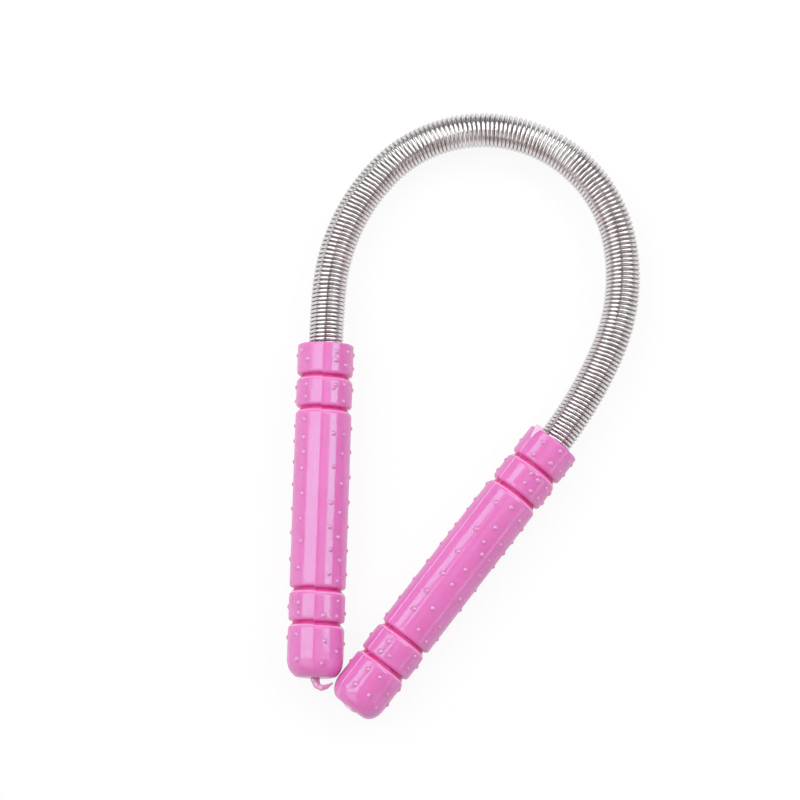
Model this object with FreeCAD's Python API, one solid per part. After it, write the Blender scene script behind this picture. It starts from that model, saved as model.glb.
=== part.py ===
import FreeCAD, Part
import math
import os

# Facial hair removal spring: a close-wound coil of steel wire whose two ends sit in the bored
# ends of two moulded plastic handles. It lies flat, with the coil held in the bend of use so
# that the ends of the handles almost meet.
#
# Frame, in millimetres: +Z up, +Y from the handles towards the crown of the bend, and the
# origin under the middle of the part, on the surface that it lies on.

# The coil
coil_diameter = 5.0
wire_diameter = 0.5
turn_gap = 0.07  # left between turns on the inner side of the bend, where they are closest
seated_turns = 3.0  # turns inside each handle
sides_per_turn = 6  # straight stretches of wire that make one turn

# The bend, from the left handle to the right one: how many turns each arc has, and its radius
# along the middle of the coil. The curve tightens from the handles towards the crown.
left_end_turns = 13.5
left_end_radius = 163.5
left_shoulder_turns = 31.6
left_shoulder_radius = 28.9
crown_turns = 67.8
crown_radius = 19.85
right_shoulder_turns = 27.0
right_shoulder_radius = 27.6
right_end_turns = 25.9
right_end_radius = 63.5

# The handles, turned about their own axes, from the collar that holds the coil to the end cap
handle_diameter = 8.0
collar_length = 4.35
upper_band_length = 3.65
barrel_length = 24.8
lower_band_length = 3.75
cap_length = 6.95
groove_width = 1.0
groove_depth = 0.6
cap_round_width = 1.8  # how far the end cap's rounding reaches in from its side
cap_round_height = 2.6  # and up from its flat end
cap_round_steps = 2  # cones that make up the rounding
seat_clearance = 0.05  # between the coil and the wall of its bore, and below its last turn

# How the part is held: the slant of the left handle and the gap between the two end caps
left_handle_slant = 1.75
caps_apart = 0.15

coil_radius = coil_diameter / 2
handle_radius = handle_diameter / 2
bore_radius = coil_radius + seat_clearance
close_pitch = wire_diameter + turn_gap
bore_depth = seated_turns * close_pitch + wire_diameter / 2 + seat_clearance
wire_circle = coil_radius - wire_diameter / 2


def heading(degrees):
    """The direction in the plane of the bend, in degrees from +X."""
    angle = math.radians(degrees)
    return FreeCAD.Vector(math.cos(angle), math.sin(angle), 0)


def along(start, degrees, distance, curvature):
    """The point and heading after a distance along an arc that turns clockwise."""
    turned = distance * curvature
    if turned == 0:
        return start + heading(degrees) * distance, degrees
    end_degrees = degrees - math.degrees(turned)
    across = heading(degrees - 90) - heading(end_degrees - 90)
    return start + across / curvature, end_degrees


class Stretch:
    """A run of turns on one arc of the coil's middle line, or on a straight inside a handle."""

    def __init__(self, first_turn, turns, start, degrees, curvature):
        """On a bend the turns keep their gap on the inner side and fan out on the outer side."""
        self.first_turn = first_turn
        self.turns = turns
        self.start = start
        self.degrees = degrees
        self.curvature = curvature
        self.pitch = close_pitch / (1 - wire_circle * curvature)

    def at(self, turn):
        """The point and heading of the middle line at a turn counted from the coil's end."""
        return along(self.start, self.degrees, (turn - self.first_turn) * self.pitch, self.curvature)

    def end(self):
        return self.at(self.first_turn + self.turns)


def coil_stretches(squeeze):
    """The coil's stretches, with the mouth of the left handle at (0, 0).

    squeeze is how much tighter than their named radii the arcs are.
    """
    arcs = [(left_end_turns, left_end_radius), (left_shoulder_turns, left_shoulder_radius),
            (crown_turns, crown_radius), (right_shoulder_turns, right_shoulder_radius),
            (right_end_turns, right_end_radius)]
    degrees = 90.0 - left_handle_slant
    start = FreeCAD.Vector() - heading(degrees) * (seated_turns * close_pitch)
    run = [Stretch(0.0, seated_turns, start, degrees, 0.0)]
    for turns, radius in arcs + [(seated_turns, math.inf)]:
        last = run[-1]
        start, degrees = last.end()
        run.append(Stretch(last.first_turn + last.turns, turns, start, degrees, squeeze / radius))
    return run


def handle_side():
    """A handle's side from the rim of its mouth to its flat end, as (radius, depth)."""
    points = [(handle_radius, 0.0)]
    depth = 0.0
    for length in (collar_length, upper_band_length, barrel_length, lower_band_length):
        depth += length
        points += [(handle_radius, depth), (handle_radius - groove_depth, depth)]
        depth += groove_width
        points += [(handle_radius - groove_depth, depth), (handle_radius, depth)]
    depth += cap_length
    for step in range(cap_round_steps + 1):
        angle = math.radians(90.0 * step / cap_round_steps)
        points.append((handle_radius - cap_round_width * (1 - math.cos(angle)),
                       depth - cap_round_height * (1 - math.sin(angle))))
    return points


def closed_face(corners):
    return Part.Face(Part.makePolygon(corners + corners[:1]))


def handle_outline(mouth, degrees):
    """A handle as seen from above, from its mouth along its heading."""
    down = heading(degrees)
    across = heading(degrees + 90)
    side = handle_side()
    one_side = [mouth + down * depth + across * radius for radius, depth in side]
    other_side = [mouth + down * depth - across * radius for radius, depth in reversed(side)]
    return closed_face(one_side + other_side)


def handle_places(squeeze):
    """The mouth and heading of each handle, left then right, which carry on from the coil."""
    run = coil_stretches(squeeze)
    left_mouth, left_degrees = run[0].end()
    right_mouth, right_degrees = run[-1].at(run[-1].first_turn)
    return (left_mouth, left_degrees + 180), (right_mouth, right_degrees)


def squeeze_to_gap():
    """The squeeze that brings the end caps to their named gap, found by halving a range."""
    loose, tight = 0.8, 1.2
    for _ in range(30):
        middle = (loose + tight) / 2
        left, right = handle_places(middle)
        if handle_outline(*left).distToShape(handle_outline(*right))[0] > caps_apart:
            loose = middle
        else:
            tight = middle
    return loose


def wire_section(point, degrees, turn):
    """The wire's three-sided section at one place of the helix, with its ridge outwards."""
    angle = 2 * math.pi * turn
    outwards = heading(degrees + 90) * math.cos(angle) + FreeCAD.Vector(0, 0, math.sin(angle))
    half_width = heading(degrees) * (wire_diameter / 2)
    ridge = point + outwards * coil_radius
    back = point + outwards * (coil_radius - wire_diameter)
    return [ridge, back + half_width, back - half_width]


def make_spring(squeeze):
    """One length of wire wound right-handed along the bend, with flat faces between sections."""
    sections = []
    step = 0
    for stretch in coil_stretches(squeeze):
        while step / sides_per_turn <= stretch.first_turn + stretch.turns:
            turn = step / sides_per_turn
            sections.append(wire_section(*stretch.at(turn), turn))
            step += 1
    faces = [closed_face(sections[0]), closed_face(sections[-1])]
    for here, there in zip(sections, sections[1:]):
        for corner in range(3):
            following = (corner + 1) % 3
            faces.append(closed_face([here[corner], here[following], there[following]]))
            faces.append(closed_face([here[corner], there[following], there[corner]]))
    shell = Part.Shell(faces)
    shell.sewShape()
    return Part.Solid(shell)


def make_handle(mouth, degrees):
    """A handle turned about its axis, with its bore's mouth at a point and its end beyond it."""
    side = handle_side()
    bore = [(0.0, bore_depth), (bore_radius, bore_depth), (bore_radius, 0.0)]
    half_section = bore + side + [(0.0, side[-1][1])]
    turned = closed_face([FreeCAD.Vector(radius, 0, depth) for radius, depth in half_section])
    turned = turned.revolve(FreeCAD.Vector(), FreeCAD.Vector(0, 0, 1), 360)
    aim = FreeCAD.Rotation(FreeCAD.Vector(0, 0, 1), heading(degrees))
    turned.Placement = FreeCAD.Placement(mouth, aim)
    return turned


def main():
    squeeze = squeeze_to_gap()
    left, right = handle_places(squeeze)
    pieces = {
        "spring": make_spring(squeeze),
        "left_handle": make_handle(*left),
        "right_handle": make_handle(*right),
    }
    box = FreeCAD.BoundBox()
    for shape in pieces.values():
        box.add(shape.optimalBoundingBox())
    to_frame = FreeCAD.Vector(-box.Center.x, -box.Center.y, -box.ZMin)
    os.makedirs("parts", exist_ok=True)
    for node, shape in pieces.items():
        shape.translate(to_frame)
        shape.exportStep("parts/" + node + ".step")
        print(node, "volume", round(shape.Volume, 3), "valid", shape.isValid())
    print("squeeze", round(squeeze, 4))
    for name, (mouth, degrees) in (("left", left), ("right", right)):
        place = mouth + to_frame
        print(name, "handle mouth", round(place.x, 3), round(place.y, 3), "heading", round(degrees, 3))


main()
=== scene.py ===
"""A facial hair removal spring: a bright steel coil bent into a loop between two pink handles.

Shapes are worked out in millimetres in the part's own frame and turned into metres when their
mesh is made. Every shape is a closed tube of point rings, or many such tubes side by side.
"""
import logging
import math
from collections.abc import Sequence
from dataclasses import dataclass, field
from enum import Enum

import bpy
import numpy as np
from mathutils import Euler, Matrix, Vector


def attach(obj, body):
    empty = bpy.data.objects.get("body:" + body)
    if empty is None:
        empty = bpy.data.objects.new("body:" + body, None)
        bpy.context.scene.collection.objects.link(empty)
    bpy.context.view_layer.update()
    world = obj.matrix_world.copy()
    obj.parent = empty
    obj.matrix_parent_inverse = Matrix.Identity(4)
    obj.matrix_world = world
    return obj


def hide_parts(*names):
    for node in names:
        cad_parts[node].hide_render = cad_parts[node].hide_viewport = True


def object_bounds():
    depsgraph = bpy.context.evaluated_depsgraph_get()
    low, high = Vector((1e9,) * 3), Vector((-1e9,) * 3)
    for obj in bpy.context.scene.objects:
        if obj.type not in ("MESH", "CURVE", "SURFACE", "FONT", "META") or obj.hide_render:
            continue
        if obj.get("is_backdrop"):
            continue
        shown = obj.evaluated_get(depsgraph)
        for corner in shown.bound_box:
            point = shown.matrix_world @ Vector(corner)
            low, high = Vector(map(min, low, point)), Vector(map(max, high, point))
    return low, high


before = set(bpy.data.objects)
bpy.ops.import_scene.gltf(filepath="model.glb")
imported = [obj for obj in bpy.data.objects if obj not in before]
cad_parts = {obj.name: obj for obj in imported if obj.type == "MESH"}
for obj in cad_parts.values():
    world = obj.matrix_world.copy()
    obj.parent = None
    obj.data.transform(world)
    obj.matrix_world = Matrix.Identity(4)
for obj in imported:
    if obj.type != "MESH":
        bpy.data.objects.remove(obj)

LOG = logging.getLogger("hair_spring")
MILLIMETRE = 0.001
FULL_TURN = 2.0 * math.pi
UP = np.array([0.0, 0.0, 1.0])
MIDDLE_HEIGHT = 4.0  # of the coil's and the handles' middle lines, over what the part lies on
LEFT_MOUTH = (-19.885, 9.548)  # where the coil leaves the left handle
LEFT_SLANT = 1.75  # how far the left handle leans from the Y axis, in degrees
Triple = tuple[float, float, float]
Colour = tuple[float, float, float]
WHITE: Colour = (1.0, 1.0, 1.0)


class Mark(Enum):
    """The values that a piece's points carry for its material."""

    THIN = "thin"  # above 0 on nubs and slivers of plastic, and there how pale they are
    SEAM = "seam"  # 1 along the painted highlight on the mould's seam and on each groove's lip
    SUNK = "sunk"  # 1 at the foot of a groove, where shade is painted
    LAY = "lay"  # the turn's number, and the cosine and sine of the way round the wire


def ring_angles(count: int) -> np.ndarray:
    """The angles of points spread evenly round a ring, in radians."""
    return FULL_TURN * np.arange(count) / count


def unit(rows: np.ndarray) -> np.ndarray:
    """Each row brought to a length of 1."""
    return rows / np.linalg.norm(rows, axis=1, keepdims=True)


def sums_before(values: np.ndarray) -> np.ndarray:
    """For each value or row, the sum of those before it."""
    return np.concatenate([np.zeros_like(values[:1]), np.cumsum(values, axis=0)[:-1]])


def rounded(s: np.ndarray, start: np.ndarray, corner: np.ndarray, end: np.ndarray) -> np.ndarray:
    """The curve (1-s)^2 a + 2 s (1-s) c + s^2 b, from a to b and bent towards c.

    Args:
        s: Places along the curve, from 0 to 1.
        start: The point a.
        corner: The point c, where the directions at both ends meet.
        end: The point b.

    Returns:
        The points at those places.
    """
    return (1 - s) ** 2 * start + 2 * s * (1 - s) * corner + s ** 2 * end


@dataclass
class Skin:
    """One or more closed surfaces."""

    points: np.ndarray  # their points in millimetres, one row each
    quads: np.ndarray  # four point numbers for each four-sided face
    triangles: np.ndarray  # three point numbers for each three-sided face
    # a value, or a row of three, for each point
    marks: dict[Mark, np.ndarray] = field(default_factory=dict)

    def facing_out(self) -> "Skin":
        """Turns the faces over if the volume that they enclose comes out negative.

        The volume is a sixth of the sum of a . (b x c) over all triangles, with each four-sided
        face taken as two of them.

        Returns:
            This surface, with its faces outwards.
        """
        halves = [self.triangles, self.quads[:, [0, 1, 2]], self.quads[:, [0, 2, 3]]]
        a, b, c = (self.points[np.concatenate(halves)[:, corner]] for corner in range(3))
        if np.einsum("ij,ij->", a, np.cross(b, c)) < 0:
            self.quads = self.quads[:, ::-1]
            self.triangles = self.triangles[:, ::-1]
        return self

    def thin(self, paleness: float) -> "Skin":
        """Marks the whole of it as a nub or a sliver."""
        self.marks[Mark.THIN] = np.full(len(self.points), paleness)
        return self

    def to_object(self, name: str) -> bpy.types.Object:
        """Makes a smooth-shaded object at the origin whose place is in its mesh.

        Faces that are marked as thin take the second of the piece's materials.

        Args:
            name: The name of the object.

        Returns:
            The new object, in metres.
        """
        mesh = bpy.data.meshes.new(name)
        corners = np.concatenate([self.quads.ravel(), self.triangles.ravel()])
        sides = np.repeat([4, 3], [len(self.quads), len(self.triangles)])
        starts = sums_before(sides)
        mesh.vertices.add(len(self.points))
        mesh.vertices.foreach_set("co", (self.points * MILLIMETRE).ravel().astype(np.float32))
        mesh.loops.add(len(corners))
        mesh.loops.foreach_set("vertex_index", corners.astype(np.int32))
        mesh.polygons.add(len(sides))
        mesh.polygons.foreach_set("loop_start", starts.astype(np.int32))
        mesh.polygons.foreach_set("use_smooth", np.ones(len(sides), dtype=bool))
        if Mark.THIN in self.marks:
            thin = self.marks[Mark.THIN][corners[starts]] > 0.0
            mesh.polygons.foreach_set("material_index", thin.astype(np.int32))
        mesh.update(calc_edges=True)
        mesh.validate()
        for mark, values in self.marks.items():
            kind, slot = ("FLOAT_VECTOR", "vector") if values.ndim == 2 else ("FLOAT", "value")
            store = mesh.attributes.new(mark.value, kind, "POINT")
            store.data.foreach_set(slot, values.ravel().astype(np.float32))
        thing = bpy.data.objects.new(name, mesh)
        bpy.context.scene.collection.objects.link(thing)
        return thing


def joined(skins: Sequence[Skin]) -> Skin:
    """Puts several surfaces in one.

    Args:
        skins: The surfaces. A mark that one of them lacks is 0 there.

    Returns:
        One surface with all their points and faces.
    """
    counts = [len(skin.points) for skin in skins]
    firsts = sums_before(np.array(counts))
    marks = {
        mark: np.concatenate([skin.marks.get(mark, np.zeros(count))
                              for skin, count in zip(skins, counts)])
        for mark in Mark if any(mark in skin.marks for skin in skins)
    }
    return Skin(
        np.concatenate([skin.points for skin in skins]),
        np.concatenate([skin.quads + first for skin, first in zip(skins, firsts)]),
        np.concatenate([skin.triangles + first for skin, first in zip(skins, firsts)]),
        marks,
    )


def closed_tubes(rings: np.ndarray, heads: np.ndarray, tails: np.ndarray) -> Skin:
    """Joins rings of points into tubes and closes both ends of each over a single point.

    Point (t, r, c) of tube t, ring r and column c is number t * (rows * columns + 2) + r * columns
    + c, and the head and tail follow each tube's rings.

    Args:
        rings: Points as an array of tubes, rings, columns and xyz.
        heads: The point that closes the first ring of each tube.
        tails: The point that closes the last ring of each tube.

    Returns:
        The tubes as one surface, facing outwards.
    """
    tubes, rows, columns, _ = rings.shape
    stride = rows * columns + 2
    here = np.arange(columns)
    following = np.roll(here, -1)
    row = (np.arange(rows - 1) * columns)[:, None]
    below = row + columns
    quads = np.stack([row + here, row + following, below + following, below + here], -1)
    last = (rows - 1) * columns
    head_fan = np.stack([following, here, np.full(columns, stride - 2)], -1)
    tail_fan = np.stack([last + here, last + following, np.full(columns, stride - 1)], -1)
    offset = (np.arange(tubes) * stride)[:, None, None]
    points = np.concatenate([rings.reshape(tubes, -1, 3), heads[:, None], tails[:, None]], axis=1)
    return Skin(
        points.reshape(-1, 3),
        (quads.reshape(-1, 4) + offset).reshape(-1, 4),
        (np.concatenate([head_fan, tail_fan]) + offset).reshape(-1, 3),
    ).facing_out()


@dataclass(frozen=True)
class Sock:
    """An output of a material's node, on which Python's operators build more nodes."""

    bench: "Bench"
    socket: bpy.types.NodeSocket

    def maths(self, operation: str, first: "Sock | float", second: "Sock | float") -> "Sock":
        """One Math node on two numbers or sockets."""
        return self.bench.node("ShaderNodeMath", {"operation": operation}, {0: first, 1: second})

    def __add__(self, other: "Sock | float") -> "Sock":
        """self + other."""
        return self.maths("ADD", self, other)

    def __radd__(self, other: float) -> "Sock":
        """other + self."""
        return self.maths("ADD", other, self)

    def __sub__(self, other: "Sock | float") -> "Sock":
        """self - other."""
        return self.maths("SUBTRACT", self, other)

    def __rsub__(self, other: float) -> "Sock":
        """other - self."""
        return self.maths("SUBTRACT", other, self)

    def __mul__(self, other: "Sock | float") -> "Sock":
        """self * other."""
        return self.maths("MULTIPLY", self, other)

    def __rmul__(self, other: float) -> "Sock":
        """other * self."""
        return self.maths("MULTIPLY", other, self)

    def __pow__(self, other: "Sock | float") -> "Sock":
        """self ** other."""
        return self.maths("POWER", self, other)

    def between(self, low: float, high: float) -> "Sock":
        """Rises smoothly from 0 at low to 1 at high."""
        settings = {"interpolation_type": "SMOOTHSTEP"}
        return self.bench.node("ShaderNodeMapRange", settings, {0: self, 1: low, 2: high})


class Bench:
    """The nodes of one material, or of the world."""

    def __init__(self, home: bpy.types.Material | bpy.types.World) -> None:
        """Takes over the nodes of a material or of the world, and clears them away.

        Args:
            home: The material or the world.
        """
        home.use_nodes = True
        self.home = home
        self.tree = home.node_tree
        self.tree.nodes.clear()

    def node(self, kind: str, settings: dict[str, object] | None = None,
             inputs: dict[int | str, object] | None = None, output: int | str = 0) -> Sock:
        """Makes any node.

        Args:
            kind: The node's type.
            settings: Its own settings, such as a Math node's operation.
            inputs: A value or a link for each socket, by name or number.
            output: Which of its outputs is returned.

        Returns:
            That output.
        """
        made = self.tree.nodes.new(kind)
        for key, value in (settings or {}).items():
            setattr(made, key, value)
        for key, value in (inputs or {}).items():
            socket = made.inputs[key]
            if isinstance(value, Sock):
                self.tree.links.new(value.socket, socket)
            elif isinstance(value, tuple) and socket.type == "RGBA":
                socket.default_value = (*value, 1.0)
            else:
                socket.default_value = value
        return Sock(self, made.outputs[output])

    def place(self) -> Sock:
        """The point's place on the piece, in metres."""
        return self.node("ShaderNodeTexCoord", output="Object")

    def mark(self, mark: Mark) -> Sock:
        """A value that the piece's points carry, or their three values as a vector."""
        output = "Vector" if mark is Mark.LAY else "Fac"
        return self.node("ShaderNodeAttribute", {"attribute_name": mark.value}, output=output)

    def part(self, vector: Sock, axis: str) -> Sock:
        """The X, Y or Z of a vector."""
        return self.node("ShaderNodeSeparateXYZ", inputs={0: vector}, output=axis)

    def stretched(self, vector: Sock, scale: Triple) -> Sock:
        """The vector with each of its three parts scaled."""
        return self.node("ShaderNodeMapping", inputs={"Vector": vector, "Scale": scale})

    def noise(self, vector: Sock, scale: float, detail: float, roughness: float = 0.5) -> Sock:
        """Cloudy noise from 0 to 1 that lies mostly near a half."""
        inputs = {"Vector": vector, "Scale": scale, "Detail": detail, "Roughness": roughness}
        return self.node("ShaderNodeTexNoise", inputs=inputs)

    def mixed(self, amount: Sock, first: Sock | Colour, second: Sock | Colour) -> Sock:
        """A colour that goes from the first to the second as amount goes from 0 to 1."""
        inputs = {0: amount, 6: first, 7: second}
        return self.node("ShaderNodeMix", {"data_type": "RGBA"}, inputs, output=2)

    def bumped(self, height: Sock, distance: float, strength: float) -> Sock:
        """A surface direction for a relief of that height in metres."""
        inputs = {"Height": height, "Distance": distance, "Strength": strength}
        return self.node("ShaderNodeBump", inputs=inputs)

    def finished(self, shader: Sock) -> bpy.types.Material | bpy.types.World:
        """Sends the shader to the output.

        Args:
            shader: The finished shader.

        Returns:
            The material or the world.
        """
        made = self.tree.nodes.new("ShaderNodeOutput" + type(self.home).__name__)
        self.tree.links.new(shader.socket, made.inputs["Surface"])
        return self.home


@dataclass(frozen=True)
class DrawnSteel:
    """Bright spring wire, with the fine lines that the drawing die leaves along it."""

    bright: Colour = (0.85, 0.82, 0.825)  # the colour of clean wire
    shade: Colour = (0.74, 0.705, 0.71)  # the colour of its dull streaks
    residue: Colour = (0.21, 0.175, 0.17)  # the colour of the painted shade between the turns
    roughness: float = 0.09  # how rough clean wire is

    def material(self) -> bpy.types.Material:
        """Makes the wire's material.

        The lay mark holds the turn number and the cosine and sine of the way round the wire, so
        noise that is squeezed along the turns draws streaks along the wire, with no seam. The
        sine is 1 or -1 where a turn faces the next one, and shade is painted dark there, most of
        all on the outer side of the bend, where the cosine of the turn's angle is 1.

        Returns:
            The material.
        """
        bench = Bench(bpy.data.materials.new("spring_steel"))
        lay = bench.mark(Mark.LAY)
        streaks = bench.noise(bench.stretched(lay, (1.6, 5.0, 5.0)), 1.0, 4.0, 0.65)
        patches = bench.noise(bench.stretched(lay, (0.9, 0.15, 0.15)), 1.0, 2.0)
        smudges = bench.noise(bench.place(), 260.0, 3.0, 0.6)
        shine = (streaks * 0.55 + patches * 0.45).between(0.36, 0.68)
        tone = bench.mixed(shine, self.shade, self.bright)
        turn = bench.part(lay, "X")
        flank = bench.part(lay, "Z")
        outer = bench.node("ShaderNodeMath", {"operation": "COSINE"}, {0: turn * FULL_TURN})
        # painted shade where the turns face each other, most of all on the outer side of the bend
        gap_shade = flank * flank + 0.22 * outer.between(0.4, 1.0)
        tone = bench.mixed(gap_shade.between(0.66, 1.12), tone, self.residue)
        rough = self.roughness + 0.05 * smudges.between(0.42, 0.70) + 0.05 * streaks
        shader = bench.node("ShaderNodeBsdfPrincipled", inputs={
            "Base Color": tone,
            "Metallic": 1.0,
            "Roughness": rough,
            "Normal": bench.bumped(streaks, 0.00001, 0.4),
        })
        return bench.finished(shader)


@dataclass(frozen=True)
class Gloss:
    """How a surface of the plastic takes light."""

    depth: float  # the share of light that goes into the plastic and comes out elsewhere
    index: float  # its index of refraction, which sets how much it mirrors
    tint: Colour  # the colour of what it mirrors when seen from straight on


@dataclass(frozen=True)
class PinkPlastic:
    """Glossy moulded plastic that light goes a little way into."""

    lit: Colour = (0.81, 0.208, 0.575)  # its colour
    cloudy: Colour = (0.795, 0.19, 0.545)  # its colour in the clouds that its flow left
    deep: Colour = (0.83, 0.035, 0.31)  # painted saturated shade at the foot of a groove
    pale: Colour = (0.96, 0.69, 0.91)  # its colour where it is thin, and of the painted highlights on the seam and lips
    roughness: float = 0.12  # how rough it is where it is clean
    # how the handles' bodies take light
    body: Gloss = Gloss(depth=0.45, index=1.6, tint=(0.05, 1.0, 0.8))
    nubs: Gloss = Gloss(depth=0.0, index=1.95, tint=(0.75, 1.0, 0.9))  # how the nubs and slivers do

    def material(self, name: str, gloss: Gloss) -> bpy.types.Material:
        """Makes one of the handles' materials.

        Flow clouds vary the pink, shade is painted at the foot of each groove, a highlight is
        painted pale along the mould's seam and each groove's lip, and slivers are paler. Smudges
        and hairline scratches break up the gloss.

        Args:
            name: The material's name.
            gloss: How it takes light.

        Returns:
            The material.
        """
        bench = Bench(bpy.data.materials.new(name))
        place = bench.place()
        clouds = bench.noise(place, 170.0, 3.0, 0.55)
        smudges = bench.noise(place, 420.0, 4.0, 0.6)
        ripple = bench.noise(place, 900.0, 2.0)
        grain = bench.noise(place, 5200.0, 2.0)
        scratches = bench.noise(bench.stretched(place, (2600.0, 240.0, 2600.0)), 1.0, 3.0, 0.6)
        hairlines = scratches.between(0.66, 0.74)
        body = bench.mixed(clouds.between(0.35, 0.65), self.lit, self.cloudy)
        # painted saturated shade at the foot of each groove
        body = bench.mixed(bench.mark(Mark.SUNK), body, self.deep)
        # painted highlight along the mould's seam and each groove's lip
        body = bench.mixed(bench.mark(Mark.SEAM) * 0.55, body, self.pale)
        body = bench.mixed(bench.mark(Mark.THIN), body, self.pale)
        rough = self.roughness + 0.08 * smudges.between(0.40, 0.72) + 0.12 * hairlines
        relief = ripple * 0.6 + grain * 0.12 + hairlines * -0.10
        shader = bench.node("ShaderNodeBsdfPrincipled", inputs={
            "Base Color": body,
            "Roughness": rough,
            "IOR": gloss.index,
            "Specular IOR Level": 0.6,
            "Specular Tint": gloss.tint,
            "Coat Weight": 0.1,
            "Coat Roughness": 0.06,
            "Coat IOR": 1.6,
            "Subsurface Weight": gloss.depth,
            "Subsurface Radius": (1.0, 0.32, 0.62),
            "Subsurface Scale": 0.0011,
            "Normal": bench.bumped(relief, 0.00004, 0.5),
        })
        return bench.finished(shader)


@dataclass(frozen=True)
class Bend:
    """The coil's middle line: arcs that each hold a number of turns, and a straight at each end."""

    # how many turns each stretch has, from the left handle to the right one
    turns: tuple[float, ...] = (3.0, 13.5, 31.6, 67.8, 27.0, 25.9, 3.0)
    # the radius of each stretch
    radii: tuple[float, ...] = (math.inf, 163.5, 28.9, 19.85, 27.6, 63.5, math.inf)
    close_pitch: float = 0.57  # from one turn to the next where they are closest, on the inner side
    wire_circle: float = 2.25  # from the middle line to the middle of the wire

    def at(self, turn: np.ndarray) -> tuple[np.ndarray, np.ndarray]:
        """Where the middle line is at turns counted from its left end.

        A point at distance d along an arc of curvature k lies on the chord of length
        d * sin(dk / 2) / (dk / 2) that leaves the arc's start at its heading less dk / 2, and a
        stretch's start is the sum of the chords before it. The first stretch ends at the left
        handle's mouth.

        Args:
            turn: The turns, in an array.

        Returns:
            The points as x and y, and the headings in radians.
        """
        turns = np.array(self.turns)
        bends = 1.0 / np.array(self.radii)
        pitches = self.close_pitch / (1.0 - self.wire_circle * bends)
        lengths = turns * pitches
        firsts = sums_before(turns)
        headings = math.radians(90.0 - LEFT_SLANT) - sums_before(lengths * bends)
        chords = self._chord(lengths, bends, headings)
        starts = np.array(LEFT_MOUTH) - chords[0] + sums_before(chords)
        part = np.clip(np.searchsorted(firsts, turn, side="right") - 1, 0, len(turns) - 1)
        distance = (turn - firsts[part]) * pitches[part]
        points = starts[part] + self._chord(distance, bends[part], headings[part])
        return points, headings[part] - distance * bends[part]

    @staticmethod
    def _chord(distance: np.ndarray, bend: np.ndarray, heading: np.ndarray) -> np.ndarray:
        """The chord of an arc as x and y, by the formula of at.

        Args:
            distance: Lengths along the arc.
            bend: The arc's curvature.
            heading: Its heading where it starts, in radians.

        Returns:
            A row for each chord.
        """
        half = distance * bend / 2.0
        length = distance * np.sinc(half / math.pi)
        return np.stack([length * np.cos(heading - half), length * np.sin(heading - half)], -1)


@dataclass
class Coil:
    """The spring: one round wire wound right-handed about the bend."""

    bend: Bend = Bend()  # the coil's middle line
    wire_diameter: float = 0.5  # the wire's thickness
    steps_per_turn: int = 26  # rings of points in each turn
    ring_points: int = 10  # points round the wire
    uneven: float = 0.05  # how far the turns stray from even spacing, in turns
    # the two waves by which they stray, each as radians to a turn and where it starts
    waves: tuple[tuple[float, float], ...] = ((0.61, 0.8), (1.73, 0.0))

    def shape(self) -> Skin:
        """The wire as a round section carried along a helix.

        At turn t the wire's middle is the bend's point plus the wire circle's radius times
        (N cos 2 pi t + Z sin 2 pi t), with N to the left of the heading. The section is a circle
        between that outward direction and its cross product with the wire's own direction. The
        waves die out as sin(pi t / T) towards both ends, with T turns in all.

        Returns:
            The closed surface, marked with its lay.
        """
        total = sum(self.bend.turns)
        turn = np.linspace(0.0, total, int(total * self.steps_per_turn) + 1)
        waver = sum(np.sin(speed * turn + start) for speed, start in self.waves)
        stray = self.uneven * waver * np.sin(math.pi * turn / total) / 2.0
        points, heading = self.bend.at(np.clip(turn + stray, 0.0, total))
        angle = FULL_TURN * turn
        left = np.stack([-np.sin(heading), np.cos(heading), np.zeros_like(turn)], -1)
        outward = left * np.cos(angle)[:, None] + UP * np.sin(angle)[:, None]
        centres = np.column_stack([points, np.full_like(turn, MIDDLE_HEIGHT)])
        middle = centres + self.bend.wire_circle * outward
        side = np.cross(unit(np.gradient(middle, turn, axis=0)), outward)
        way = ring_angles(self.ring_points)
        cosine, sine = np.cos(way), np.sin(way)
        section = cosine[None, :, None] * outward[:, None] + sine[None, :, None] * side[:, None]
        rings = middle[:, None] + self.wire_diameter / 2.0 * section
        skin = closed_tubes(rings[None], middle[:1], middle[-1:])
        lay = np.stack(np.broadcast_arrays(turn[:, None], cosine[None], sine[None]), -1)
        ends = [[0.0, 0.0, 0.0], [total, 0.0, 0.0]]
        skin.marks[Mark.LAY] = np.concatenate([lay.reshape(-1, 3), ends])
        return skin

    def build(self, finish: DrawnSteel) -> bpy.types.Object:
        """Makes the spring, dresses it and puts it in the place of its CAD node."""
        return placed(self.shape(), "coil_spring", [finish.material()], "spring")


@dataclass(frozen=True)
class NubRow:
    """A row of grip nubs: how far round from the top it is, in degrees, and each nub's depth."""

    roll: float
    depths: tuple[float, ...]


@dataclass(frozen=True)
class Nub:
    """A grip nub's sizes, with angles in degrees."""

    radius: float = 0.42
    height: float = 0.22
    shares: tuple[float, ...] = (1.0, 0.82, 0.58, 0.3)  # of its radius, where its rings lie
    ring_points: int = 10
    sunk: float = 0.02  # how far it is let into the handle
    root: float = 0.12  # how deep its closed foot is
    sizes: tuple[float, float] = (0.88, 1.1)  # its least and greatest share of full size
    scatter: float = 3.0  # how far it strays round the handle
    repeated: float = 75.0  # rows nearer to the top than this come again below
    clear: float = 22.0  # how far those keep from right underneath
    paleness: float = 0.03


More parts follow.
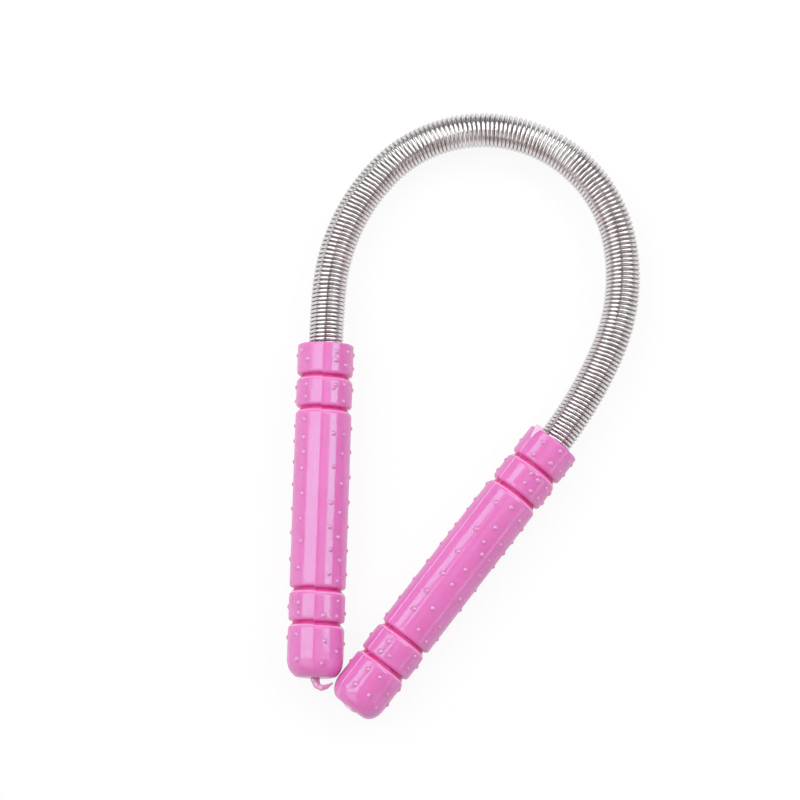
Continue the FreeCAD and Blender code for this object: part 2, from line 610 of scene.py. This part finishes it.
@dataclass(frozen=True)
class HandleSection:
    """A handle's sizes, from its mouth along its axis."""

    radius: float = 4.0  # the handle's radius
    # the collar, upper band, barrel and lower band, which a groove follows each
    lengths: tuple[float, ...] = (4.35, 3.65, 24.8, 3.75)
    cap_length: float = 6.95  # from the last groove to the flat end
    groove_width: float = 1.0  # each groove's width
    groove_depth: float = 0.6  # each groove's depth
    bore_radius: float = 2.55  # the radius of the bore that holds the coil
    bore_depth: float = 2.01  # the bore's depth
    cap_round: tuple[float, float] = (1.8, 2.6)  # how far the end's rounding reaches in and up
    pole_gap: float = 0.02  # how far from the axis the outline starts and ends
    near_step: float = 0.06  # from a point of the outline to the rings next to it
    far_step: float = 0.45  # from ring to ring where it is straight

    @property
    def length(self) -> float:
        """The handle's whole length."""
        return sum(self.lengths) + len(self.lengths) * self.groove_width + self.cap_length

    @property
    def groove_ends(self) -> np.ndarray:
        """The depth at which each groove ends."""
        return np.cumsum(np.array(self.lengths) + self.groove_width)

    def outline(self) -> tuple[np.ndarray, np.ndarray]:
        """The turned outline, from the bore's floor out round the mouth and down to the end.

        Each corner c with rounding f is the curve (1-s)^2 a + 2 s (1-s) c + s^2 b between the
        points a and b at distance f before and after it. A groove drops steeply from the
        section above it and slopes out to a crisp lip. The end is a quarter of an ellipse.

        Returns:
            The radius and the depth of each point.
        """
        foot = self.radius - self.groove_depth
        # A row for each corner: its radius, its depth and its rounding.
        mouth = [[self.bore_radius, self.bore_depth, 0.1], [self.bore_radius, 0.0, 0.12],
                 [self.radius, 0.0, 0.26]]
        groove = np.array([[self.radius, 0.0, 0.40], [foot, 0.16, 0.16], [foot, 0.34, 0.16],
                           [self.radius, self.groove_width, 0.34]])
        starts = self.groove_ends - self.groove_width
        grooves = groove[None] + np.array([0.0, 1.0, 0.0]) * starts[:, None, None]
        corners = np.concatenate([mouth, grooves.reshape(-1, 3)])
        spots, reach = corners[:, :2], corners[:, 2, None]
        inner = [[self.pole_gap, self.bore_depth]]
        cap_start = [[self.radius, self.length - self.cap_round[1]]]
        ways = unit(np.diff(np.concatenate([inner, spots, cap_start]), axis=0))
        s = np.linspace(0.0, 1.0, 7)[:, None, None]
        curves = rounded(s, spots - ways[:-1] * reach, spots, spots + ways[1:] * reach)
        bends = curves.transpose(1, 0, 2).reshape(-1, 2)
        turned = np.linspace(0.0, math.pi / 2.0, 15)
        ellipse = np.column_stack([self.radius - self.cap_round[0] * (1 - np.cos(turned)),
                                   self.length - self.cap_round[1] * (1 - np.sin(turned))])
        line = np.concatenate([inner, bends, ellipse, [[self.pole_gap, self.length]]])
        run = np.concatenate([[0.0], np.cumsum(np.linalg.norm(np.diff(line, axis=0), axis=1))])
        stations = np.concatenate([run, run[1:] - self.near_step, run[:-1] + self.near_step,
                                   np.arange(0.0, run[-1], self.far_step)])
        stations = np.unique(np.round(stations, 3))
        stations = stations[(stations >= 0.0) & (stations <= run[-1])]
        return np.interp(stations, run, line[:, 0]), np.interp(stations, run, line[:, 1])

    def side_radius(self, depth: np.ndarray) -> np.ndarray:
        """The outer radius at a depth, with the grooves left out.

        Over the end's rounding, at a share p of its height, it is R - i (1 - sqrt(1 - p^2)), with
        i how far the rounding reaches in.

        Args:
            depth: Depths from the mouth.

        Returns:
            The radius at each.
        """
        reach_in, reach_up = self.cap_round
        past = np.clip((depth - self.length + reach_up) / reach_up, 0.0, 1.0)
        return self.radius - reach_in * (1.0 - np.sqrt(1.0 - past ** 2))


@dataclass
class Handle:
    """A moulded handle: a turned body with a mould seam, and grip nubs all round it."""

    name: str  # the name of the finished piece
    node: str  # the CAD node that it stands for
    mouth: tuple[float, float]  # the middle of its mouth
    heading: float  # the direction of its axis from there, in degrees from +X
    seam_roll: float  # how far round from the top the mould's seam is, in degrees
    seam_height: float  # how far the seam stands out
    slip: float  # how far one half of the mould had slipped along the axis
    nubs: tuple[NubRow, ...]  # the nub rows on the half that faces up
    section: HandleSection = HandleSection()  # the handle's sizes
    nub: Nub = Nub()  # the nubs' sizes
    seed: int = 5  # the start of the random draws for the nubs
    columns: int = 96  # points round each ring of the body, which has more of them near the seam
    seam_spread: float = 0.07  # how far the seam's ridge reaches to each side
    pale_seam: float = 0.04  # the seam height from which its painted highlight is full
    slip_ramp: float = 0.04  # the sine of the angle within which the slip sets in at the seam
    # how far the mouth's rim reaches out from the bore, and down
    rim: tuple[float, float] = (0.3, 0.5)
    # how far above a groove's end the painted highlight on its lip is, and how far it spreads
    lip: tuple[float, float] = (0.20, 0.09)
    lip_wear: float = 1.1  # how strong the painted highlight on the lips is

    def around(self, radius: np.ndarray, depth: np.ndarray, roll: np.ndarray) -> np.ndarray:
        """Points at a radius from the axis, a depth from the mouth and a roll from the top.

        The point is mouth + depth * A + radius * (Z cos roll + S sin roll), with A along the
        axis and S = A turned a quarter left, seen from above.

        Args:
            radius: Distances from the axis.
            depth: Distances along it.
            roll: Angles round it in radians.

        Returns:
            The points, with xyz as the last dimension.
        """
        turned = math.radians(self.heading)
        axis = np.array([math.cos(turned), math.sin(turned), 0.0])
        side = np.array([-axis[1], axis[0], 0.0])
        radius, depth, roll = (part[..., None] for part in np.broadcast_arrays(radius, depth, roll))
        start = np.array([*self.mouth, MIDDLE_HEIGHT])
        return start + depth * axis + radius * (np.cos(roll) * UP + np.sin(roll) * side)

    def on_axis(self, depth: float) -> np.ndarray:
        """The point on the axis at a depth, as an array of one."""
        return self.around(np.zeros(1), np.array([depth]), np.zeros(1))

    def body(self) -> Skin:
        """The turned outline carried round the axis, with the seam's ridge and slip on it.

        The ridge's height falls off from the seam as exp(-(arc / spread)^2), and depth is shifted
        by the slip on one half of the mould, past a short ramp at the seams. A highlight is
        painted pale along the seam by the ridge's formula, and along the lip below each groove by
        the same formula of the distance from it.

        Returns:
            The closed surface with its marks for the painted highlight and the painted groove
            shade.
        """
        section = self.section
        radius, depth = section.outline()
        near = np.array([-0.05, -0.03, -0.018, -0.009, 0.0, 0.009, 0.018, 0.03, 0.05])
        even = np.linspace(0.0, FULL_TURN, self.columns, endpoint=False) + math.pi / self.columns
        roll = np.sort(np.concatenate([even, near % FULL_TURN, near + math.pi]))
        arc = np.abs(np.sin(roll)) * section.radius
        ridge = np.exp(-(arc / self.seam_spread) ** 2)
        half = np.clip(np.sin(roll) / self.slip_ramp, -1.0, 1.0)
        rim_width, rim_depth = self.rim
        past_rim = radius > section.bore_radius + rim_width
        outer = (past_rim & (depth < section.length - 0.01)).astype(float)
        side = outer * (depth > rim_depth)
        full_radius = radius[:, None] + self.seam_height * ridge[None] * outer[:, None]
        full_depth = depth[:, None] + self.slip / 2.0 * half[None] * side[:, None]
        rings = self.around(full_radius, full_depth, (roll + math.radians(self.seam_roll))[None])
        skin = closed_tubes(rings[None], self.on_axis(depth[0]), self.on_axis(depth[-1]))
        # painted highlight: along the seam's ridge and on the lip below each groove
        lip_height, lip_spread = self.lip
        lips = section.groove_ends - lip_height
        lip_highlight = np.exp(-((depth[:, None] - lips[None]) / lip_spread) ** 2).sum(axis=1)
        seam = self.seam_height / self.pale_seam * ridge[None]
        painted_highlight = np.maximum(seam, self.lip_wear * lip_highlight[:, None]) * outer[:, None]
        # painted shade, deeper the further down into a groove
        gone = np.clip((section.radius - radius) / section.groove_depth, 0.0, 1.0)
        groove_shade_mask = gone * side * (depth < section.length - section.cap_round[1])
        # the painted highlight on the seam and lips
        skin.marks[Mark.SEAM] = np.append(painted_highlight.ravel(), [0.0, 0.0])
        skin.marks[Mark.SUNK] = np.append(np.repeat(groove_shade_mask, len(roll)), [0.0, 0.0])
        return skin

    def grip(self) -> Skin:
        """All the nubs, as small bells that rise from just under the surface.

        At a share q of its radius a nub stands height * (1 - q^2)^1.5 over the handle. The half
        that faces down has the same rows turned half a turn, none of them right underneath.

        Returns:
            The closed nubs as one surface.
        """
        nub = self.nub
        chance = np.random.default_rng(self.seed)
        roll = np.concatenate([np.full(len(row.depths), row.roll) for row in self.nubs])
        depth = np.concatenate([np.array(row.depths) for row in self.nubs])
        roll = roll + chance.uniform(-nub.scatter, nub.scatter, len(roll))
        under = 180.0 + np.sign(roll) * np.maximum(np.abs(roll), nub.clear)
        again = np.abs(roll) < nub.repeated
        roll = np.radians(np.concatenate([roll, under[again]]))
        depth = np.concatenate([depth, depth[again]])
        size = chance.uniform(*nub.sizes, len(depth))[:, None, None]
        share = np.array(nub.shares)[None, :, None]
        way = ring_angles(nub.ring_points)[None, None, :]
        reach = nub.radius * size * share
        spots = depth[:, None, None] + reach * np.cos(way)
        rolls = roll[:, None, None] + reach * np.sin(way) / self.section.radius
        rise = nub.height * size * (1.0 - share ** 2) ** 1.5 - nub.sunk
        rings = self.around(self.section.side_radius(spots) + rise, spots, rolls)
        base = self.section.side_radius(depth)
        heads = self.around(base - nub.root, depth, roll)
        tails = self.around(base + nub.height * size[:, 0, 0] - nub.sunk, depth, roll)
        return closed_tubes(rings, heads, tails).thin(nub.paleness)

    def ribbon(self, path: np.ndarray, widths: np.ndarray, thickness: float,
               flat: np.ndarray) -> Skin:
        """A thin sliver of plastic along a path.

        Its section is an ellipse, as wide as widths along flat and as thick as thickness across,
        and where it narrows its thickness goes down with its width to 0.3 of itself.

        Args:
            path: Points along its middle.
            widths: Its half width at each point.
            thickness: Its half thickness.
            flat: The direction of its width at each point.

        Returns:
            The closed sliver.
        """
        along = unit(np.gradient(path, axis=0))
        across = unit(np.cross(along, flat))
        way = ring_angles(12)
        thick = thickness * np.clip(widths / widths.max(), 0.3, 1.0)
        rings = (path[:, None]
                 + (widths[:, None] * np.cos(way))[..., None] * flat[:, None]
                 + (thick[:, None] * np.sin(way))[..., None] * across[:, None])
        return closed_tubes(rings[None], path[:1], path[-1:])

    def slivers(self) -> list[Skin]:
        """The slivers of flash on this handle."""
        return []

    def build(self, finish: PinkPlastic) -> bpy.types.Object:
        """Makes the handle, dresses it and puts it in the place of its CAD node.

        Args:
            finish: The handle's plastic.

        Returns:
            The finished piece, whose body and nubs have a material each.
        """
        skin = joined([self.body(), self.grip(), *self.slivers()])
        dress = [finish.material(self.name + "_body", finish.body),
                 finish.material(self.name + "_nubs", finish.nubs)]
        return placed(skin, self.name, dress, self.node)


@dataclass
class LeftHandle(Handle):
    """The handle that stands nearly upright, with a curl of gate flash left at its end."""

    name: str = "ribbed_handle_left"
    node: str = "left_handle"
    mouth: tuple[float, float] = LEFT_MOUTH
    heading: float = -90.0 - LEFT_SLANT
    seam_roll: float = -4.0
    seam_height: float = 0.006
    slip: float = 0.14
    nubs: tuple[NubRow, ...] = (
        NubRow(-88, (1.6, 6.2, 8.2, 11.7, 13.9, 16.9, 20.1, 23.6, 27.0, 30.8, 37.6, 41.9)),
        NubRow(-59, (1.1,)),
        NubRow(-42, (2.5, 6.1, 7.9, 11.1, 13.7, 15.8, 18.1, 21.7, 25.3, 28.5, 32.2, 37.2, 38.6,
                     41.6, 45.1)),
        NubRow(19, (6.6, 38.9, 42.5, 45.7)),
        NubRow(25, (1.4, 2.6, 6.2, 13.1, 17.8, 23.0, 26.4, 29.6, 33.0)),
        NubRow(48, (3.2, 6.0, 8.4, 13.1, 15.9, 20.2, 24.3, 27.8, 31.1, 34.0, 36.8, 39.0, 43.9)),
        NubRow(57, (1.2,)),
        NubRow(87, (1.3, 3.3, 6.4, 11.9, 15.3, 18.9, 22.5, 26.0, 29.4, 32.8, 38.3, 42.6)),
    )
    # the start, corner and tip of the curl's middle line, each as how far it is to the right of the
    # axis, past the end and above the axis
    curl: tuple[Triple, ...] = ((0.05, -0.15, -0.3), (0.35, 2.35, -0.2), (2.6, 0.62, 0.3))
    curl_width: float = 0.58  # the curl's half width at its root

    def slivers(self) -> list[Skin]:
        """The curl of gate flash that hangs from the middle of the end.

        Its half width falls to a quarter as 1 - 0.75 s^2, and two small waves make its edges
        ragged.

        Returns:
            The curl alone.
        """
        s = np.linspace(0.0, 1.0, 24)
        aside, past, height = rounded(s[:, None], *np.array(self.curl)).T
        roll = np.arctan2(aside, height)
        path = self.around(np.hypot(aside, height), self.section.length + past, roll)
        ragged = 1.0 + 0.10 * np.sin(11.0 * s) + 0.09 * np.sin(25.0 * s)
        widths = self.curl_width * (1.0 - 0.75 * s ** 2.0) * ragged
        face = [0.0, -0.2, 0.98]
        flat = np.cross(unit(np.gradient(path, axis=0)), face)
        return [self.ribbon(path, widths, thickness=0.17, flat=flat).thin(paleness=0.22)]


@dataclass
class RightHandle(Handle):
    """The handle that lies aslant, with a raised seam, a flash sliver and a gate scar."""

    name: str = "ribbed_handle_right"
    node: str = "right_handle"
    mouth: tuple[float, float] = (12.631, -4.462)
    heading: float = -127.563
    seam_roll: float = -47.0
    seam_height: float = 0.04
    slip: float = 0.05
    seed: int = 11
    nubs: tuple[NubRow, ...] = (
        NubRow(-80, (2.6, 6.2, 8.0, 10.5, 13.3, 15.1, 17.8, 19.3, 21.3, 24.4, 27.6, 30.9, 33.9,
                     37.5, 42.2)),
        NubRow(-18, (1.4, 3.6, 12.3, 16.9, 21.0, 24.8, 28.1, 31.2, 37.0, 38.8, 41.9, 44.6)),
        NubRow(4, (5.9, 7.5, 38.5)),
        NubRow(16, (11.5, 15.1, 17.7, 22.4, 25.2, 29.5, 33.1, 41.7, 44.6)),
        NubRow(27, (0.9, 3.1, 6.1, 8.0, 19.3)),
        NubRow(52, (6.2, 8.1, 12.2, 16.5, 19.3, 21.8, 26.1, 30.9, 33.8, 36.4, 38.3, 42.9, 45.4)),
        NubRow(60, (1.2, 3.0)),
        NubRow(88, (1.1, 2.9, 6.2, 7.9, 12.7, 15.0, 17.0, 19.4, 23.6, 27.1, 32.4, 37.2, 41.3,
                    44.0)),
    )
    fin_start: float = -0.35  # the depth at which the sliver along the seam starts
    fin_length: float = 2.9  # its length
    fin_width: float = 0.85  # its half width there
    # the radius of each ring of the gate scar, and how far past the end it stands
    scar: tuple[tuple[float, float], ...] = ((1.0, -0.05), (0.96, 0.12), (0.7, 0.22), (0.35, 0.18))

    def fin(self) -> Skin:
        """The sliver that runs down the seam from just over the mouth's rim.

        Its half width thins almost to nothing as (1 - s)^1.6, and its middle lifts off the
        handle a little, as sin(pi s).

        Returns:
            The closed sliver.
        """
        s = np.linspace(0.0, 1.0, 18)
        depth = self.fin_start + self.fin_length * s
        seam = np.full_like(s, math.radians(self.seam_roll))
        path = self.around(self.section.radius - 0.1 + 0.12 * np.sin(math.pi * s), depth, seam)
        widths = self.fin_width * (1.0 - s) ** 1.6 + 0.04
        quarter_on = self.around(np.ones_like(s), depth, seam + math.pi / 2.0)
        flat = quarter_on - self.around(np.zeros_like(s), depth, seam)
        return self.ribbon(path, widths, thickness=0.11, flat=flat).thin(paleness=0.8)

    def gate_scar(self) -> Skin:
        """The low ragged disc in the middle of the end, where the gate was cut off.

        Two waves round it, of three and seven to the turn, make its edge ragged, and one of five
        makes its top uneven.

        Returns:
            The closed disc.
        """
        way = ring_angles(20)
        radius, rise = np.array(self.scar).T[..., None]
        ragged = 1.0 + 0.13 * np.sin(3.0 * way + 1.0) + 0.08 * np.sin(7.0 * way)
        depth = self.section.length + rise + 0.03 * np.cos(5.0 * way)
        rings = self.around(radius * ragged, depth, way[None])
        head = self.on_axis(self.section.length + rise[0, 0])
        tail = self.on_axis(self.section.length + rise.max())
        return closed_tubes(rings[None], head, tail).thin(paleness=0.9)

    def slivers(self) -> list[Skin]:
        """The sliver at the mouth and the scar on the end."""
        return [self.fin(), self.gate_scar()]


def placed(skin: Skin, name: str, dress: list[bpy.types.Material], node: str) -> bpy.types.Object:
    """Makes a dressed piece that stands for a CAD node and moves with the part.

    Args:
        skin: The piece's surface.
        name: The piece's name.
        dress: Its materials.
        node: The CAD node that it stands for.

    Returns:
        The finished object.
    """
    piece = skin.to_object(name)
    for material in dress:
        piece.data.materials.append(material)
    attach(piece, "root")
    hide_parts(node)
    return piece


@dataclass(frozen=True)
class Softbox:
    """A soft rectangular panel of white light that hangs level over the part."""

    name: str  # the panel's name
    # the shares of its height at which it starts and ends, to the right of the part
    across: tuple[float, float]
    forward: tuple[float, float]  # the same towards the crown
    glow: float  # how bright it looks, where 1 is white
    height: float = 0.6  # how high it hangs, in metres

    def hang(self, middle: Vector) -> None:
        """Puts the panel over a point, with the power that gives it its glow.

        A panel of area a looks as bright as white under a power of pi a.

        Args:
            middle: The point in the middle of the picture, in metres.
        """
        lamp = bpy.data.lights.new(self.name, "AREA")
        lamp.shape = "RECTANGLE"
        lamp.size = self.height * (self.across[1] - self.across[0])
        lamp.size_y = self.height * (self.forward[1] - self.forward[0])
        lamp.energy = self.glow * math.pi * lamp.size * lamp.size_y
        hung = bpy.data.objects.new(self.name, lamp)
        over = Vector((sum(self.across) / 2.0, sum(self.forward) / 2.0, 1.0))
        hung.location = middle + over * self.height
        bpy.context.scene.collection.objects.link(hung)


@dataclass
class Studio:
    """The pale floor, the soft lamps and the camera."""

    # the point of the part's middle plane in the middle of the picture, in millimetres
    aim: Triple = (-9.274, 1.689, MIDDLE_HEIGHT)
    distance: float = 450.0  # from the camera to that point, in millimetres
    tilt: float = 8.3  # how far the camera leans from straight down, in degrees
    lens: float = 141.75  # the focal length in millimetres on a sensor of 36
    floor_half: float = 1.2  # half the floor's width, in metres
    seen_white: float = 0.85  # the share of the floor's even white that the camera sees
    mirrored_white: float = 0.55  # the share of it that shiny pieces mirror
    zenith: float = 0.16  # how bright the surround is straight over the part
    horizon: float = 0.52  # how bright it is level with the part
    front: float = 0.16  # how much brighter it is on the handles' side
    front_colour: Colour = (1.0, 0.87, 0.82)  # its colour there
    left: float = 0.30  # how much brighter it is low on the left
    # the lamps
    softboxes: tuple[Softbox, ...] = (
        Softbox("crown_left_panel", (-2.20, -0.22), (0.46, 1.15), 2.95),
        Softbox("crown_right_panel", (0.03, 2.20), (0.46, 1.15), 2.95),
        Softbox("middle_panel", (0.03, 0.55), (-0.10, 0.46), 0.7),
        Softbox("left_panel", (-1.75, -0.22), (-0.05, 0.30), 3.15),
        Softbox("right_panel", (0.55, 1.65), (0.0, 0.42), 4.0),
        Softbox("low_left_panel", (-2.20, -0.40), (-1.20, -0.10), 1.2),
        Softbox("low_right_panel", (1.90, 3.60), (-2.20, -0.10), 1.3),
    )

    def camera(self) -> None:
        """Puts the camera over the part, on the handles' side and looking towards the crown."""
        lens = bpy.data.cameras.new("camera")
        lens.lens = self.lens
        lens.sensor_width = 36.0
        lens.clip_start = 0.01
        eye = bpy.data.objects.new("camera", lens)
        lean = math.radians(self.tilt)
        back = Vector((0.0, -math.sin(lean), math.cos(lean))) * self.distance
        eye.location = (Vector(self.aim) + back) * MILLIMETRE
        eye.rotation_euler = Euler((lean, 0.0, 0.0))
        bpy.context.scene.collection.objects.link(eye)
        bpy.context.scene.camera = eye

    def floor(self, height: float) -> None:
        """Lays the floor.

        Its material is in part an even white, more to the camera than in reflections, and for
        the rest a matt white that takes the shadow.

        Args:
            height: The height of the lowest point of the part, in metres.
        """
        mesh = bpy.data.meshes.new("floor")
        signs = ((-1.0, -1.0), (1.0, -1.0), (1.0, 1.0), (-1.0, 1.0))
        corners = [(self.floor_half * x, self.floor_half * y, height) for x, y in signs]
        mesh.from_pydata(corners, [], [(0, 1, 2, 3)])
        ground = bpy.data.objects.new("floor", mesh)
        bpy.context.scene.collection.objects.link(ground)
        bench = Bench(bpy.data.materials.new("floor_white"))
        grain = bench.noise(bench.place(), 30.0, 2.0)
        grey = bench.mixed(grain, (0.69, 0.69, 0.69), (0.71, 0.71, 0.71))
        matt = bench.node("ShaderNodeBsdfDiffuse", inputs={"Color": grey})
        glow = bench.node("ShaderNodeEmission", inputs={"Color": WHITE, "Strength": 1.05})
        seen = bench.node("ShaderNodeLightPath", output="Is Camera Ray")
        mirrored = bench.node("ShaderNodeLightPath", output="Is Glossy Ray")
        share = seen * self.seen_white + mirrored * self.mirrored_white
        white = bench.node("ShaderNodeMixShader", inputs={0: share, 1: matt, 2: glow})
        mesh.materials.append(bench.finished(white))
        ground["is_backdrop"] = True

    def lights(self) -> None:
        """Hangs the softboxes over the part and sets the surround.

        The surround's brightness goes from the horizon's to the zenith's as (1 - z)^4 falls from
        1 to 0, with z the upward part of the direction. It is brighter and warmer towards the
        handles' side, and brighter low on the left.
        """
        middle = Vector(self.aim) * MILLIMETRE
        for box in self.softboxes:
            box.hang(middle)
        world = bpy.data.worlds.new("surround")
        bpy.context.scene.world = world
        bench = Bench(world)
        way = bench.node("ShaderNodeTexCoord")
        up, ahead, aside = (bench.part(way, axis) for axis in "ZYX")
        front = (0.0 - ahead).between(-0.05, 0.35)
        left = (0.0 - aside).between(0.70, 0.95)
        level = (1.0 - up) ** 4.0 * (self.horizon - self.zenith) + self.zenith
        level = level + front * self.front + left * self.left
        inputs = {"Color": bench.mixed(front, WHITE, self.front_colour), "Strength": level}
        bench.finished(bench.node("ShaderNodeBackground", inputs=inputs))


def corners_of(bounds: Sequence[Sequence[float]]) -> list[list[float]]:
    """The two corners of a box as plain lists of numbers."""
    return [[float(value) for value in corner] for corner in bounds]


def main() -> None:
    """Builds the part and its studio."""
    logging.basicConfig(level=logging.INFO, format="%(name)s: %(message)s")
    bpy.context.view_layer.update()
    scene = bpy.context.scene
    scene.view_settings.view_transform = "Standard"
    plastic = PinkPlastic()
    pieces = [Coil().build(DrawnSteel()), LeftHandle().build(plastic), RightHandle().build(plastic)]
    for piece in pieces:
        piece.data.calc_loop_triangles()
        LOG.info("%s: %d triangles", piece.name, len(piece.data.loop_triangles))
    full_box = corners_of(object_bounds())
    studio = Studio()
    studio.camera()
    studio.floor(full_box[0][2])
    studio.lights()


if __name__ == "__main__":
    main()
